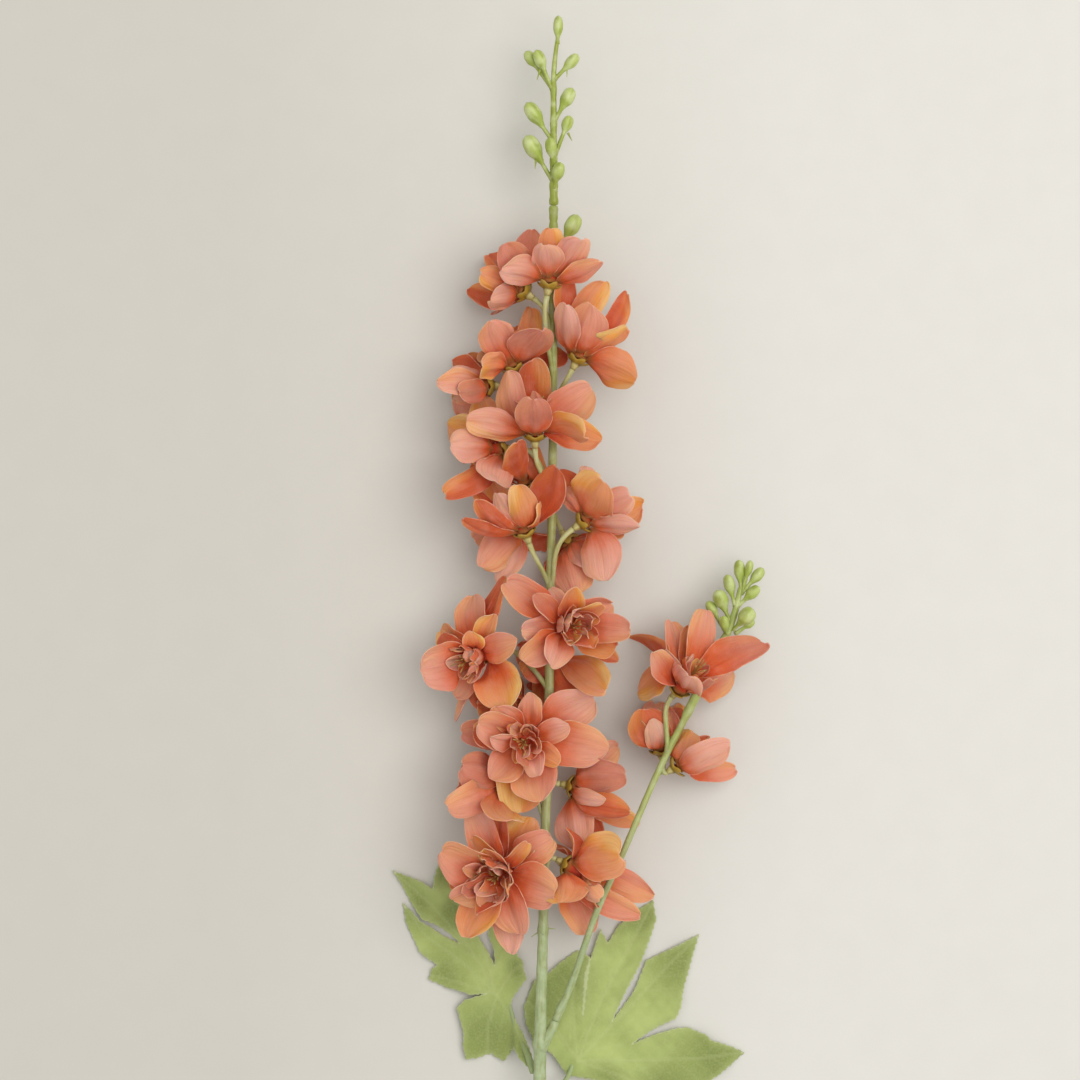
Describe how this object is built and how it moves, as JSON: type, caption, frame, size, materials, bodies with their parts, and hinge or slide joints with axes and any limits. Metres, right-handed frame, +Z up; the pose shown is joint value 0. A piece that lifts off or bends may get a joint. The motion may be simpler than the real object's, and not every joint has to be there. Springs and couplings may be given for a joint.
{
  "type": "delphinium flower spike",
  "caption": "Cut stem of double delphinium in fabric and moulded plastic, lying on its side, with salmon florets, green bud tips, a side branch and two lobed leaves.",
  "frame": {"origin": "on the surface the stem lies on, under the middle of its bounding box", "axes": "+Y along the stem towards the bud tip, +Z up from the surface, +X to the side of the branch"},
  "size_m": [0.1714, 0.6252, 0.0613],
  "materials": {
    "petal_salmon": "dyed fabric, matt, with orange and pink blushes",
    "heart_ochre": "moulded olive and ochre plastic",
    "stem_green": "moulded plastic, soft sheen, paler towards the cut end",
    "bud_green": "moulded yellow-green plastic, soft sheen",
    "leaf_green": "printed fabric leaf with pressed veins"
  },
  "bodies": {
    "root": {"main_stem": "stem_green", "branch_stem": "stem_green", "bud_tip_main": "bud_green", "bud_tip_branch": "bud_green", "leaf_left": "leaf_green", "leaf_right": "leaf_green", "heart_14": "heart_ochre", "heart_13": "heart_ochre", "heart_17": "heart_ochre", "heart_12": "heart_ochre", "heart_18": "heart_ochre", "heart_07": "heart_ochre", "heart_10": "heart_ochre", "heart_11": "heart_ochre", "heart_03": "heart_ochre", "heart_01": "heart_ochre", "heart_02": "heart_ochre", "heart_04": "heart_ochre", "heart_05": "heart_ochre", "heart_08": "heart_ochre", "heart_09": "heart_ochre", "heart_10b": "heart_ochre", "heart_11b": "heart_ochre", "heart_13b": "heart_ochre", "heart_15b": "heart_ochre", "heart_15": "heart_ochre", "heart_16": "heart_ochre", "heart_19": "heart_ochre", "heart_20": "heart_ochre", "heart_21": "heart_ochre", "bloom_14": "petal_salmon", "bloom_13": "petal_salmon", "bloom_17": "petal_salmon", "bloom_12": "petal_salmon", "bloom_18": "petal_salmon", "bloom_07": "petal_salmon", "bloom_10": "petal_salmon", "bloom_11": "petal_salmon", "bloom_03": "petal_salmon", "bloom_01": "petal_salmon", "bloom_02": "petal_salmon", "bloom_04": "petal_salmon", "bloom_05": "petal_salmon", "bloom_08": "petal_salmon", "bloom_09": "petal_salmon", "bloom_10b": "petal_salmon", "bloom_11b": "petal_salmon", "bloom_13b": "petal_salmon", "bloom_15b": "petal_salmon", "bloom_15": "petal_salmon", "bloom_16": "petal_salmon", "bloom_19": "petal_salmon", "bloom_20": "petal_salmon", "bloom_21": "petal_salmon"}
  },
  "joints": []
}
